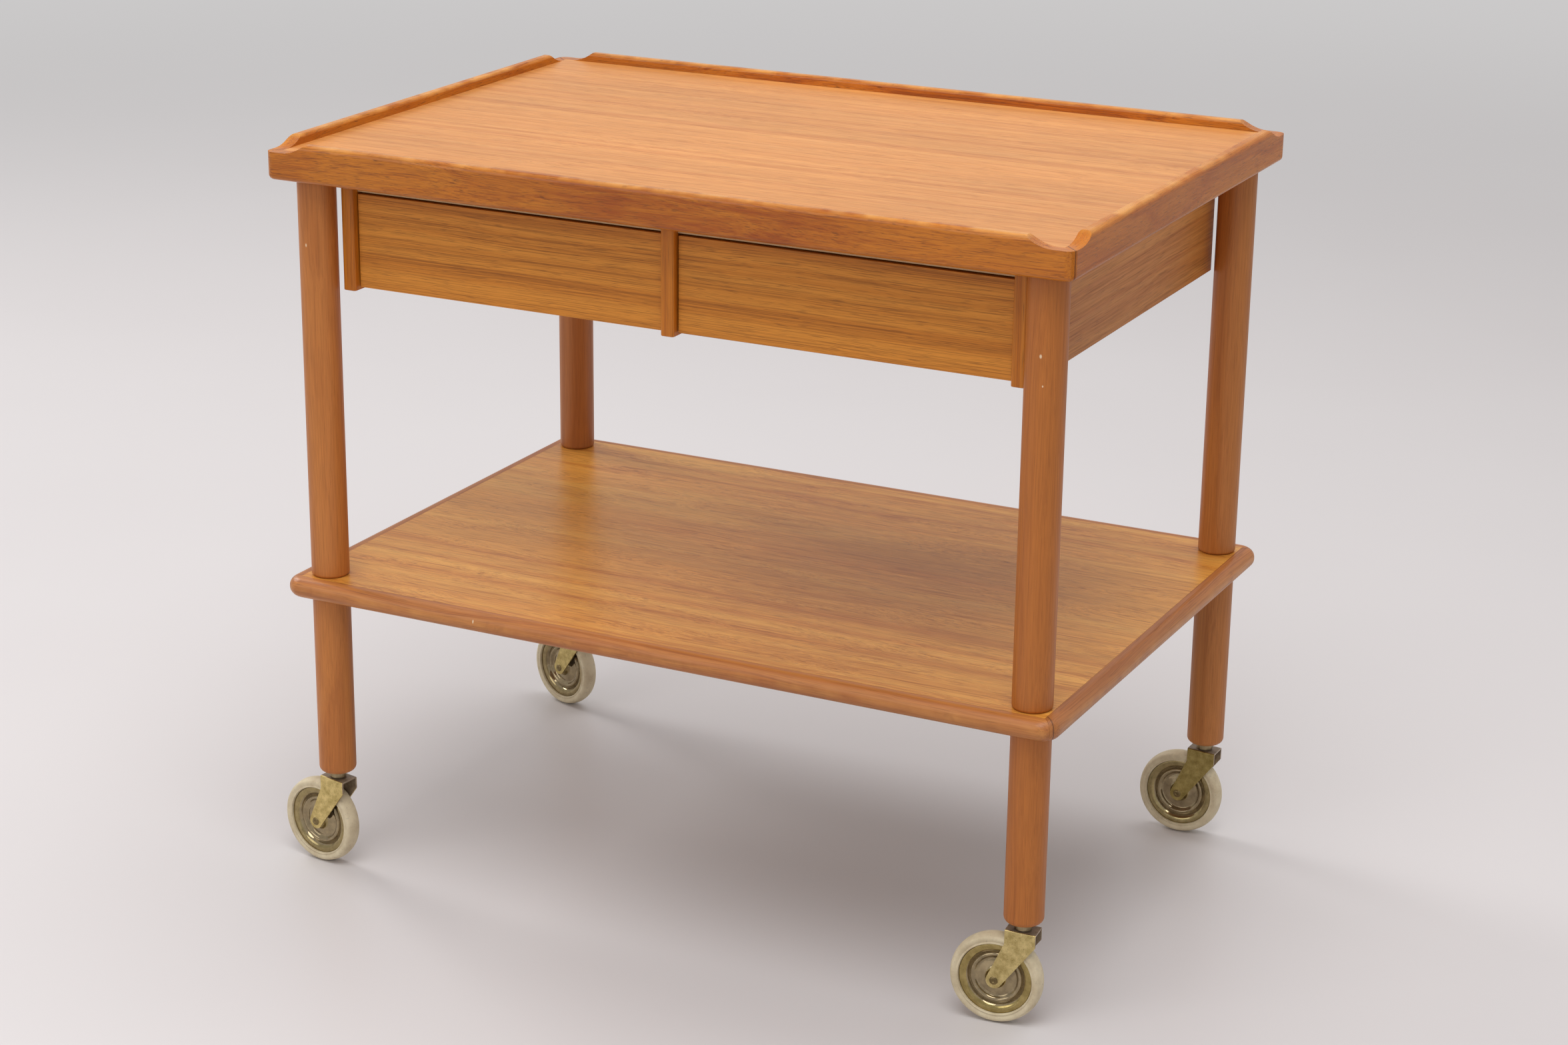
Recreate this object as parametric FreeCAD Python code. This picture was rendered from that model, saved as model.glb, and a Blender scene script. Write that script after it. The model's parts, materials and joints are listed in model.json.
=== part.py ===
import FreeCAD, Part
import math
import os

os.makedirs("parts", exist_ok=True)

# Serving trolley: a teak tray and shelf on four round legs, two drawers, four swivel casters.
# Millimetres, +Z up, drawers towards -Y, origin on the floor under the middle of the whole trolley.

# Tray: veneered panel inside four mitred rails, whose lip scoops down to the panel at the corners
tray_length = 700.0
tray_depth = 476.0
tray_corner_radius = 8.0
panel_thickness = 12.0
rail_width = 11.0
rail_height = 31.0
lip_height = 8.0
scoop_flat = 16.0
scoop_run = 38.0
rail_foot_round_share = 0.36
crest_outer_round_share = 0.42
crest_inner_round_share = 0.27

# Legs: round, in two lengths that meet at the shelf on a dowel
leg_diameter = 32.0
leg_rail_gap = 2.5
upper_leg_length = 353.0
lower_leg_length = 163.0
upper_leg_foot_round = 2.5
lower_leg_foot_round = 5.0
dowel_diameter = 10.0
dowel_depth = 20.0
dowel_clearance = 0.05
dowel_end_gap = 0.5

# Shelf: veneered panel with mitred half-round lippings, the same outline as the tray
shelf_thickness = 17.0
shelf_corner_radius = 16.0
lipping_width = 12.0
bullnose_share = 0.48

# Drawer case: two sides, a divider and a back hung under the tray, faced with three upright strips
case_leg_gap = 2.5
case_height = 105.0
case_front_setback = 6.0
case_rear_setback = 2.5
case_wall = 12.0
strip_depth = 22.0
strip_round = 2.5
back_thickness = 6.0
cross_rail_height = 23.0
cross_rail_thickness = 11.0
cross_rail_setback = 1.0

# Drawers: inset fronts, side-hung on wooden runners
drawer_recess = 6.0
drawer_front_thickness = 12.0
drawer_front_gap = 1.0
drawer_top_gap = 1.5
drawer_bottom_gap = 2.5
drawer_side_thickness = 12.0
drawer_side_height = 60.0
drawer_side_lift = 4.0
drawer_back_thickness = 10.0
drawer_back_gap = 1.0
drawer_bottom_thickness = 4.0
drawer_bottom_lift = 5.0
runner_height = 10.0
runner_width = 7.0
runner_rear_gap = 20.0
runner_clearance = 0.2

# Casters: rubber-tyred disc wheel in a pressed fork, whose stem turns in a socket in the leg
wheel_diameter = 76.0
tyre_width = 15.0
tyre_thickness = 8.0
tyre_round_share = 0.33
caster_trail = 20.0
fork_side_gap = 1.0
fork_wall = 1.5
fork_length = 25.0
fork_top_gap = 6.0
fork_cheek_drop = 12.0
fork_eye_radius = 6.5
axle_diameter = 5.0
axle_head_diameter = 7.0
axle_head_thickness = 0.9
running_clearance = 0.05
stem_diameter = 8.0
stem_length = 42.0
stem_rivet_diameter = 12.0
stem_rivet_thickness = 1.0
collar_diameter = 14.0
collar_height = 4.2
collar_gap = 0.3
socket_wall = 1.5
socket_flange_diameter = 18.0
socket_flange_thickness = 1.3
socket_end_gap = 1.0
disc_rim_width_share = 0.72
disc_web_width_share = 0.36
disc_ring_width_share = 0.56
disc_hub_radius_share = 0.27
disc_ring_radius_shares = (0.54, 0.64)
disc_rim_radius_share = 0.77
caster_rest_turn_shares = {"front_left": -0.022, "front_right": 0.017, "rear_right": -0.003, "rear_left": -0.05}

# One overrun serves every cut
overrun = 5.0

# Levels and places that follow from the sizes above
half_length = tray_length / 2
half_depth = tray_depth / 2
wheel_radius = wheel_diameter / 2
disc_radius = wheel_radius - tyre_thickness
fork_gap = tyre_width + fork_side_gap * 2
fork_width = fork_gap + fork_wall * 2
fork_under = wheel_diameter + fork_top_gap
fork_top = fork_under + fork_wall
collar_top = fork_top + collar_height
leg_bottom = collar_top + collar_gap + socket_flange_thickness
shelf_bottom = leg_bottom + lower_leg_length
shelf_top = shelf_bottom + shelf_thickness
panel_bottom = shelf_top + upper_leg_length
panel_top = panel_bottom + panel_thickness
crest = panel_top + lip_height
rail_bottom = crest - rail_height
leg_radius = leg_diameter / 2
leg_inset = rail_width + leg_rail_gap + leg_radius
leg_x = half_length - leg_inset
leg_y = half_depth - leg_inset
case_half = leg_x - leg_radius - case_leg_gap
case_bottom = panel_bottom - case_height
case_front = case_front_setback - leg_y
case_rear = leg_y - case_rear_setback
strip_back = case_front + strip_depth
back_face = case_rear - back_thickness
drawer_face = case_front + drawer_recess
drawer_front_back = drawer_face + drawer_front_thickness
drawer_top = panel_bottom - cross_rail_height - drawer_top_gap
drawer_rear = back_face - drawer_back_gap
drawer_side_bottom = case_bottom + drawer_side_lift
runner_middle = drawer_side_bottom + drawer_side_height / 2
legs = {"front_left": (-leg_x, -leg_y), "front_right": (leg_x, -leg_y),
        "rear_right": (leg_x, leg_y), "rear_left": (-leg_x, leg_y)}
bays = {"left": (case_wall - case_half, -case_wall / 2), "right": (case_wall / 2, case_half - case_wall)}


def rest_degrees(corner):
    # How far a caster stands turned at rest, from its share of a full turn
    return caster_rest_turn_shares[corner] * 360


def wheel_reach(corner):
    # How far a trailing wheel stands out past the tray's middle, towards -X, at its rest angle
    turn = math.radians(rest_degrees(corner))
    tyre_round = tyre_width * tyre_round_share
    along = (caster_trail + wheel_radius - tyre_round) * math.cos(turn)
    across = (tyre_width / 2 - tyre_round) * abs(math.sin(turn))
    return leg_x + along + across + tyre_round


origin_shift = (max(wheel_reach("front_left"), wheel_reach("rear_left"), half_length) - half_length) / 2


def at(x, y, z):
    return FreeCAD.Vector(x, y, z)


def export(node, *solids):
    shape = solids[0] if len(solids) == 1 else Part.makeCompound(list(solids))
    shape.translate(at(origin_shift, 0, 0))
    shape.exportStep("parts/" + node + ".step")


def block(x_low, x_high, y_low, y_high, z_low, z_high):
    return Part.makeBox(x_high - x_low, y_high - y_low, z_high - z_low, at(x_low, y_low, z_low))


def rod(radius, z_low, z_high, x=0, y=0):
    return Part.makeCylinder(radius, z_high - z_low, at(x, y, z_low))


def cross_rod(radius, x, z, y_low, y_high):
    return Part.makeCylinder(radius, y_high - y_low, at(x, y_low, z), at(0, 1, 0))


def prism(points, rise):
    return Part.Face(Part.makePolygon(points + points[:1])).extrude(rise)


def level_edges(solid, level, inner_half_length, inner_half_depth, inside):
    # Edges lying at one level, either inside or outside a centred rectangle
    found = []
    for edge in solid.Edges:
        low, high = edge.BoundBox.ZMin, edge.BoundBox.ZMax
        if abs(low - level) > dowel_clearance or abs(high - level) > dowel_clearance:
            continue
        middle = edge.valueAt((edge.FirstParameter + edge.LastParameter) / 2)
        within = abs(middle.x) < inner_half_length and abs(middle.y) < inner_half_depth
        if within == inside:
            found.append(edge)
    return found


def upright_edges(solid):
    return [edge for edge in solid.Edges
            if abs(edge.BoundBox.ZLength - solid.BoundBox.ZLength) < dowel_clearance]


def rounded_plate(corner_radius, z_low, z_high):
    plate = block(-half_length, half_length, -half_depth, half_depth, z_low, z_high)
    return plate.makeFillet(corner_radius, upright_edges(plate))


def mitre_quarter(side, reach, z_low, z_high):
    # Plan wedge that one side of a mitred frame keeps, cut at 45 degrees through each corner
    out_x, out_y = half_length + overrun, half_depth + overrun
    in_x, in_y = half_length - reach, half_depth - reach
    corners = {"front": [(-out_x, -out_y), (out_x, -out_y), (in_x, -in_y), (-in_x, -in_y)],
               "rear": [(out_x, out_y), (-out_x, out_y), (-in_x, in_y), (in_x, in_y)],
               "left": [(-out_x, out_y), (-out_x, -out_y), (-in_x, -in_y), (-in_x, in_y)],
               "right": [(out_x, -out_y), (out_x, out_y), (in_x, in_y), (in_x, -in_y)]}
    points = [at(x, y, z_low) for x, y in corners[side]]
    return prism(points, at(0, 0, z_high - z_low))


def scoop_cutter():
    # Above a level run at the corner and a round hollow that climbs to the crest, along +X to the corner at 0
    run = scoop_run - scoop_flat
    radius = (run ** 2 + lip_height ** 2) / (lip_height * 2)
    half_turn = math.asin(run / radius) / 2
    middle = at(-scoop_flat - radius * math.sin(half_turn), 0, panel_top + radius * (1 - math.cos(half_turn)))
    low, high = at(-scoop_flat, 0, panel_top), at(-scoop_run, 0, crest)
    top_in, top_out = at(-scoop_run, 0, crest + overrun), at(overrun, 0, crest + overrun)
    end = at(overrun, 0, panel_top)
    edges = [Part.Arc(low, middle, high).toShape()]
    for start, stop in ((high, top_in), (top_in, top_out), (top_out, end), (end, low)):
        edges.append(Part.makeLine(start, stop))
    return Part.Face(Part.Wire(edges)).extrude(at(0, rail_width + overrun * 2, 0))


def corner_scoops():
    cutters = []
    lengthwise = scoop_cutter()
    lengthwise.translate(at(half_length, -half_depth - overrun, 0))
    crosswise = scoop_cutter()
    crosswise.rotate(at(0, 0, 0), at(0, 0, 1), 90)
    crosswise.translate(at(half_length + overrun, half_depth, 0))
    for cutter in (lengthwise, crosswise):
        for pair in (cutter, cutter.mirror(at(0, 0, 0), at(1, 0, 0))):
            cutters.append(pair)
            cutters.append(pair.mirror(at(0, 0, 0), at(0, 1, 0)))
    return cutters


def tray():
    inner_x, inner_y = half_length - rail_width, half_depth - rail_width
    frame = rounded_plate(tray_corner_radius, rail_bottom, crest)
    frame = frame.cut(block(-inner_x, inner_x, -inner_y, inner_y, rail_bottom - overrun, crest + overrun))
    edge_x, edge_y = inner_x + dowel_clearance, inner_y + dowel_clearance
    foot = level_edges(frame, rail_bottom, edge_x, edge_y, False)
    frame = frame.makeFillet(rail_width * rail_foot_round_share, foot)
    outer = level_edges(frame, crest, edge_x, edge_y, False)
    frame = frame.makeFillet(rail_width * crest_outer_round_share, outer)
    inner = level_edges(frame, crest, edge_x, edge_y, True)
    frame = frame.makeFillet(rail_width * crest_inner_round_share, inner)
    frame = frame.cut(corner_scoops())
    for side in ("front", "rear", "left", "right"):
        wedge = mitre_quarter(side, rail_width, rail_bottom - overrun, crest + overrun)
        export("top_rail_" + side, frame.common(wedge).Solids[0])
    export("top_panel", block(-inner_x, inner_x, -inner_y, inner_y, panel_bottom, panel_top))


def shelf():
    inner_x, inner_y = half_length - lipping_width, half_depth - lipping_width
    blank = rounded_plate(shelf_corner_radius, shelf_bottom, shelf_top)
    rims = level_edges(blank, shelf_bottom, 0, 0, False) + level_edges(blank, shelf_top, 0, 0, False)
    blank = blank.makeFillet(shelf_thickness * bullnose_share, rims)
    core = block(-inner_x, inner_x, -inner_y, inner_y, shelf_bottom, shelf_top)
    border = blank.cut(core)
    for side in ("front", "rear", "left", "right"):
        wedge = mitre_quarter(side, lipping_width, shelf_bottom - overrun, shelf_top + overrun)
        export("shelf_lipping_" + side, border.common(wedge).Solids[0])
    holes = [rod(dowel_diameter / 2 + dowel_clearance, shelf_bottom, shelf_top, x, y) for x, y in legs.values()]
    export("shelf_panel", core.cut(holes))


def foot_edges(solid):
    return [edge for edge in solid.Edges if abs(edge.BoundBox.ZMax - solid.BoundBox.ZMin) < dowel_clearance]


def leg_set():
    hole = dowel_diameter / 2 + dowel_clearance
    socket_hole = stem_diameter / 2 + running_clearance + socket_wall + dowel_clearance
    socket_top = leg_bottom + stem_length
    dowels = []
    for corner, (x, y) in legs.items():
        upper = rod(leg_radius, shelf_top, panel_bottom, x, y)
        upper = upper.makeFillet(upper_leg_foot_round, foot_edges(upper))
        export("upper_leg_" + corner, upper.cut(rod(hole, shelf_top, shelf_top + dowel_depth, x, y)))
        lower = rod(leg_radius, leg_bottom, shelf_bottom, x, y)
        lower = lower.makeFillet(lower_leg_foot_round, foot_edges(lower))
        bores = [rod(hole, shelf_bottom - dowel_depth, shelf_bottom, x, y),
                 rod(socket_hole, leg_bottom, socket_top, x, y)]
        export("lower_leg_" + corner, lower.cut(bores))
        dowel_low = shelf_bottom - dowel_depth + dowel_end_gap
        dowels.append(rod(dowel_diameter / 2, dowel_low, shelf_top + dowel_depth - dowel_end_gap, x, y))
    export("leg_dowels", *dowels)


def caster_sockets():
    bore = stem_diameter / 2 + running_clearance
    sleeve_top = leg_bottom + stem_length - socket_end_gap
    flange_low = leg_bottom - socket_flange_thickness
    sockets = []
    for x, y in legs.values():
        sleeve = rod(bore + socket_wall, flange_low, sleeve_top, x, y)
        sleeve = sleeve.fuse(rod(socket_flange_diameter / 2, flange_low, leg_bottom, x, y))
        sockets.append(sleeve.cut(rod(bore, flange_low, sleeve_top, x, y)).removeSplitter())
    export("caster_sockets", *sockets)


def upright_strip(x_low, x_high):
    strip = block(x_low, x_high, case_front, strip_back, case_bottom, panel_bottom)
    front = [edge for edge in upright_edges(strip) if abs(edge.BoundBox.YMin - case_front) < dowel_clearance]
    return strip.makeFillet(strip_round, front)


def drawer_case():
    wall_half = case_wall / 2
    walls = {"left": (-case_half, case_wall - case_half), "centre": (-wall_half, wall_half),
             "right": (case_half - case_wall, case_half)}
    for place, (x_low, x_high) in walls.items():
        export("case_strip_" + place, upright_strip(x_low, x_high))
        rear = back_face if place == "centre" else case_rear
        node = "case_divider" if place == "centre" else "case_side_" + place
        export(node, block(x_low, x_high, strip_back, rear, case_bottom, panel_bottom))
    inner = case_half - case_wall
    export("case_back", block(-inner, inner, back_face, case_rear, case_bottom, panel_bottom))
    rail_face = drawer_face + cross_rail_setback
    rail_low = panel_bottom - cross_rail_height
    cross_rails = []
    runners = []
    runner_low, runner_high = runner_middle - runner_height / 2, runner_middle + runner_height / 2
    runner_front, runner_rear = strip_back, back_face - runner_rear_gap
    for low, high in bays.values():
        rail_back = rail_face + cross_rail_thickness
        cross_rails.append(block(low, high, rail_face, rail_back, rail_low, panel_bottom))
        for x_low, x_high in ((low, low + runner_width), (high - runner_width, high)):
            runners.append(block(x_low, x_high, runner_front, runner_rear, runner_low, runner_high))
    export("case_cross_rails", *cross_rails)
    export("drawer_runners", *runners)


def drawer(name, bay_low, bay_high):
    low, high = bay_low + drawer_front_gap, bay_high - drawer_front_gap
    prefix = "drawer_" + name + "_"
    front_low = case_bottom + drawer_bottom_gap
    export(prefix + "front", block(low, high, drawer_face, drawer_front_back, front_low, drawer_top))
    side_low, side_high = drawer_side_bottom, drawer_side_bottom + drawer_side_height
    groove_half = runner_height / 2 + runner_clearance
    groove_low, groove_high = runner_middle - groove_half, runner_middle + groove_half
    reach = runner_width + runner_clearance
    for side, x_low in (("left", low), ("right", high - drawer_side_thickness)):
        x_high = x_low + drawer_side_thickness
        board = block(x_low, x_high, drawer_front_back, drawer_rear, side_low, side_high)
        groove_x = (bay_low, bay_low + reach) if side == "left" else (bay_high - reach, bay_high)
        groove = block(*groove_x, drawer_front_back, drawer_rear, groove_low, groove_high)
        export(prefix + "side_" + side, board.cut(groove))
    inner_low, inner_high = low + drawer_side_thickness, high - drawer_side_thickness
    back_front = drawer_rear - drawer_back_thickness
    export(prefix + "back", block(inner_low, inner_high, back_front, drawer_rear, side_low, side_high))
    floor_low = side_low + drawer_bottom_lift
    floor_high = floor_low + drawer_bottom_thickness
    export(prefix + "bottom", block(inner_low, inner_high, drawer_front_back, back_front, floor_low, floor_high))


def tangent_point(point_x, point_z, side):
    # Where a straight edge from a point touches the round end of a fork arm about the axle
    offset_x, offset_z = point_x + caster_trail, point_z - wheel_radius
    distance = math.hypot(offset_x, offset_z)
    heading = math.atan2(offset_z, offset_x) + side * math.acos(fork_eye_radius / distance)
    return (fork_eye_radius * math.cos(heading) - caster_trail,
            fork_eye_radius * math.sin(heading) + wheel_radius)


def fork_arm(y_low):
    # One cheek: square under the top plate, then slanting back to a round eye at the axle
    half = fork_length / 2
    shoulder = fork_top - fork_cheek_drop
    front_touch = tangent_point(half, shoulder, -1)
    rear_touch = tangent_point(-half, shoulder, 1)
    slant = math.atan2(shoulder - wheel_radius, caster_trail)
    lowest = (-caster_trail - fork_eye_radius * math.cos(slant), wheel_radius - fork_eye_radius * math.sin(slant))
    outline = [(-half, shoulder), (-half, fork_top), (half, fork_top), (half, shoulder), front_touch]
    points = [at(x, y_low, z) for x, z in outline]
    edges = [Part.makeLine(start, stop) for start, stop in zip(points, points[1:])]
    touch = at(rear_touch[0], y_low, rear_touch[1])
    edges.append(Part.Arc(points[-1], at(lowest[0], y_low, lowest[1]), touch).toShape())
    edges.append(Part.makeLine(touch, points[0]))
    return Part.Face(Part.Wire(edges)).extrude(at(0, fork_wall, 0))


def caster_fork():
    half_length_x, half_gap = fork_length / 2, fork_gap / 2
    plate = block(-half_length_x, half_length_x, -fork_width / 2, fork_width / 2, fork_under, fork_top)
    fork = plate.fuse([fork_arm(half_gap), fork_arm(-half_gap - fork_wall)]).removeSplitter()
    axle_hole = axle_diameter / 2 + dowel_clearance
    stem_hole = stem_diameter / 2 + dowel_clearance
    axle_bore = cross_rod(axle_hole, -caster_trail, wheel_radius, -fork_width, fork_width)
    return fork.cut([axle_bore, rod(stem_hole, fork_under, fork_top)])


def caster_stem():
    radius = stem_diameter / 2
    rivet_low = fork_under - stem_rivet_thickness
    stem_top = leg_bottom + stem_length - socket_end_gap * 2
    stem = rod(radius, rivet_low, stem_top)
    stem = stem.fuse(rod(stem_rivet_diameter / 2, rivet_low, fork_under))
    return stem.fuse(rod(collar_diameter / 2, fork_top, collar_top)).removeSplitter()


def caster_axle():
    end = fork_width / 2
    head = axle_head_thickness
    axle = cross_rod(axle_diameter / 2, -caster_trail, wheel_radius, -end, end)
    for low, high in ((-end - head, -end), (end, end + head)):
        axle = axle.fuse(cross_rod(axle_head_diameter / 2, -caster_trail, wheel_radius, low, high))
    return axle.removeSplitter()


def turned(profile):
    # Solid of revolution about the axle from half-section points (radius, half width), mirrored across the wheel
    points = [(radius, width) for radius, width in profile]
    points += [(radius, -width) for radius, width in reversed(profile)]
    section = [at(radius - caster_trail, width, wheel_radius) for radius, width in points]
    face = Part.Face(Part.makePolygon(section + section[:1]))
    return face.revolve(at(-caster_trail, 0, wheel_radius), at(0, 1, 0), 360)


def wheel_disc():
    # Pressed disc with a hub boss, a raised ring and a rim flange that carries the tyre
    bore = axle_diameter / 2 + running_clearance
    hub, web = fork_gap / 2 - running_clearance * 2, tyre_width * disc_web_width_share / 2
    ring, rim = tyre_width * disc_ring_width_share / 2, tyre_width * disc_rim_width_share / 2
    hub_radius = disc_radius * disc_hub_radius_share
    ring_low, ring_high = [disc_radius * share for share in disc_ring_radius_shares]
    rim_low = disc_radius * disc_rim_radius_share
    profile = [(bore, hub), (hub_radius, hub), (hub_radius, web), (ring_low, web), (ring_low, ring),
               (ring_high, ring), (ring_high, web), (rim_low, web), (rim_low, rim), (disc_radius, rim)]
    return turned(profile)


def tyre():
    ring = turned([(disc_radius, tyre_width / 2), (wheel_radius, tyre_width / 2)])
    outer = [edge for edge in ring.Edges if edge.BoundBox.ZLength > wheel_diameter - dowel_clearance
             and edge.BoundBox.YLength < dowel_clearance]
    return ring.makeFillet(tyre_width * tyre_round_share, outer)


def casters():
    pieces = {"stem": caster_stem(), "fork": caster_fork(), "axle": caster_axle(),
              "disc": wheel_disc(), "tyre": tyre()}
    for corner, (x, y) in legs.items():
        for name, piece in pieces.items():
            copy = piece.copy()
            copy.rotate(at(0, 0, 0), at(0, 0, 1), rest_degrees(corner))
            copy.translate(at(x, y, 0))
            export("caster_" + corner + "_" + name, copy)


tray()
shelf()
leg_set()
caster_sockets()
drawer_case()
for bay, (bay_low, bay_high) in bays.items():
    drawer(bay, bay_low, bay_high)
casters()
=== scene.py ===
import json
import math

import bmesh
import bpy
from mathutils import Matrix, Vector


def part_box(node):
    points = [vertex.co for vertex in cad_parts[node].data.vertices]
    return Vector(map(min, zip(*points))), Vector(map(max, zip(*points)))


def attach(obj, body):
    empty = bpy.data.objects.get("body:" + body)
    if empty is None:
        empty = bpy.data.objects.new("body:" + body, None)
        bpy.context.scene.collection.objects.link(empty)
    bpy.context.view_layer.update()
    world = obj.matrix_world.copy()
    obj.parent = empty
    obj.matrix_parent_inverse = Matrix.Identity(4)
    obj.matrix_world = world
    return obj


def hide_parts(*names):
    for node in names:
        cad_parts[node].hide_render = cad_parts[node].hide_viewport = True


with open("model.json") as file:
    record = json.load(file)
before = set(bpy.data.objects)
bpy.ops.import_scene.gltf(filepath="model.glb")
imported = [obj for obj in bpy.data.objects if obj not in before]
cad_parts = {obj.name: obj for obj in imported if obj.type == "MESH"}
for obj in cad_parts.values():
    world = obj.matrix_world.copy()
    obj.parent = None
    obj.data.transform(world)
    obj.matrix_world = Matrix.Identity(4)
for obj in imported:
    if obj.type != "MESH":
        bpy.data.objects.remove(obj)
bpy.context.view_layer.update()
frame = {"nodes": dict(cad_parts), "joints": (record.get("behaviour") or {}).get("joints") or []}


# Lower shelf board: a blockboard core faced with flat-sliced teak, its grain along the trolley.
# The veneer was sanded and rubbed with oil, so it is satin, and its middle carries a slow arched figure.

def linear(code):
    """The linear colour that a shader takes, from an sRGB hex value."""
    parts = [int(code[start:start + 2], 16) / 255 for start in (0, 2, 4)]
    return [c / 12.92 if c <= 0.04045 else ((c + 0.055) / 1.055) ** 2.4 for c in parts] + [1]


def add(tree, kind, inputs=None, **settings):
    """Adds a shader node with its settings; each input is set, or linked where it is given a socket. A Mix of
    colours takes its factor at 0 and the colours at 6 and 7, and gives the result at 2."""
    made = tree.nodes.new("ShaderNode" + kind)
    for name, value in settings.items():
        setattr(made, name, value)
    for name, value in (inputs or {}).items():
        if isinstance(value, bpy.types.NodeSocket):
            tree.links.new(value, made.inputs[name])
        else:
            made.inputs[name].default_value = value
    return made


def emptied(owner):
    """The node tree of a new material or world, with nothing in it."""
    owner.use_nodes = True
    owner.node_tree.nodes.clear()
    return owner.node_tree


def clad(node, finish):
    """Gives its material to a solid that is shown as it is."""
    mesh = frame["nodes"][node].data
    mesh.materials.clear()
    mesh.materials.append(finish)


def flamed(tree, tone, log, flow, spot, reach, strength):
    """Beside a branch the grain swirls, in curls 50 mm long and 5 mm wide, and turns a deep red."""
    along = add(tree, "SeparateXYZ", {0: log}).outputs["X"]
    off = add(tree, "Math", {0: along, 1: spot}, operation="SUBTRACT").outputs[0]
    off = add(tree, "Math", {0: off}, operation="ABSOLUTE").outputs[0]
    near = add(tree, "MapRange", {"Value": off, "From Min": reach, "From Max": reach * 0.2},
               interpolation_type="SMOOTHSTEP").outputs[0]
    curls = add(tree, "Mapping", {"Vector": flow, "Scale": (1 / 0.05, 1 / 0.005, 1 / 0.005)}).outputs[0]
    curl = add(tree, "TexNoise", {"Vector": curls, "Scale": 1, "Detail": 5, "Distortion": 0.6}).outputs[0]
    curl = add(tree, "MapRange", {"Value": curl, "From Min": 0.36, "From Max": 0.62, "To Min": strength / 6,
                                  "To Max": strength}).outputs[0]
    curl = add(tree, "Math", {0: curl, 1: near}, operation="MULTIPLY").outputs[0]
    return add(tree, "Mix", {0: curl, 6: tone, 7: linear("8c3a0e")}, data_type="RGBA").outputs[2]


def rubbed(tree, tone, place, level, reach, share):
    """Round a level, the arris is pale in patches some 26 mm apart: rubbed pale by hands, and in part a
    painted highlight along the crest. Knocks have left small dark dents in it, some 10 mm apart."""
    height = add(tree, "SeparateXYZ", {0: place}).outputs["Z"]
    off = add(tree, "Math", {0: height, 1: level}, operation="SUBTRACT").outputs[0]
    off = add(tree, "Math", {0: off}, operation="ABSOLUTE").outputs[0]
    near = add(tree, "MapRange", {"Value": off, "From Min": reach, "From Max": 0}).outputs[0]
    # Pale patches are wear and in part a painted highlight; the dark ones are dents
    for apart, detail, start, full, most, colour in ((0.0263, 4, 0.36, 0.64, share, "dc9c50"),
                                                     (0.01053, 2, 0.64, 0.72, share / 2, "5f2c10")):
        marks = add(tree, "TexNoise", {"Vector": place, "Scale": 1 / apart, "Detail": detail}).outputs[0]
        mark = add(tree, "MapRange", {"Value": marks, "From Min": start, "From Max": full,
                                      "To Max": most}).outputs[0]
        mark = add(tree, "Math", {0: mark, 1: near}, operation="MULTIPLY").outputs[0]
        tone = add(tree, "Mix", {0: mark, 6: tone, 7: linear(colour)}, data_type="RGBA").outputs[2]
    return tone


def glued(tree, tone, place, middle, half_length, half_depth):
    """A hairline of old glue, about 1 mm wide, shows where mitred ends meet at the corners of a rectangle."""
    plan = add(tree, "VectorMath", {0: place, 1: (middle, 0, 0)}, operation="SUBTRACT").outputs[0]
    plan = add(tree, "VectorMath", {0: plan}, operation="ABSOLUTE").outputs[0]
    plan = add(tree, "VectorMath", {0: plan, 1: (half_length, half_depth, 0)},
               operation="SUBTRACT").outputs[0]
    off = add(tree, "VectorMath", {0: plan, 1: (1, -1, 0)}, operation="DOT_PRODUCT").outputs["Value"]
    off = add(tree, "Math", {0: off}, operation="ABSOLUTE").outputs[0]
    glue = add(tree, "MapRange", {"Value": off, "From Min": 0.0011, "From Max": 0.0004,
                                  "To Max": 0.7}).outputs[0]
    return add(tree, "Mix", {0: glue, 6: tone, 7: linear("4a230c")}, data_type="RGBA").outputs[2]


def darkened_underside(tree, tone, place, level):
    """Below a level, the hidden underside is darkened and dulled as painted shade, so that it bounces
    less warm light and the shadow on the floor beneath is deeper and greyer.
    """
    height = add(tree, "SeparateXYZ", {0: place}).outputs["Z"]
    hidden = add(tree, "Math", {0: height, 1: level}, operation="LESS_THAN").outputs[0]
    plain = add(tree, "HueSaturation", {"Saturation": 0.8, "Value": 0.55, "Color": tone}).outputs[0]
    return add(tree, "Mix", {0: hidden, 6: tone, 7: plain}, data_type="RGBA").outputs[2]


def nicked(tree, tone, place, spot, half_width, half_height):
    """A knock has broken the skin and shows bare, pale wood."""
    off = add(tree, "VectorMath", {0: place, 1: spot}, operation="SUBTRACT").outputs[0]
    off = add(tree, "VectorMath", {0: off, 1: (half_width, half_width, half_height)},
              operation="DIVIDE").outputs[0]
    off = add(tree, "VectorMath", {0: off}, operation="LENGTH").outputs["Value"]
    bare = add(tree, "MapRange", {"Value": off, "From Min": 1, "From Max": 0.5}).outputs[0]
    return add(tree, "Mix", {0: bare, 6: tone, 7: linear("e2c6a2")}, data_type="RGBA").outputs[2]


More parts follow.
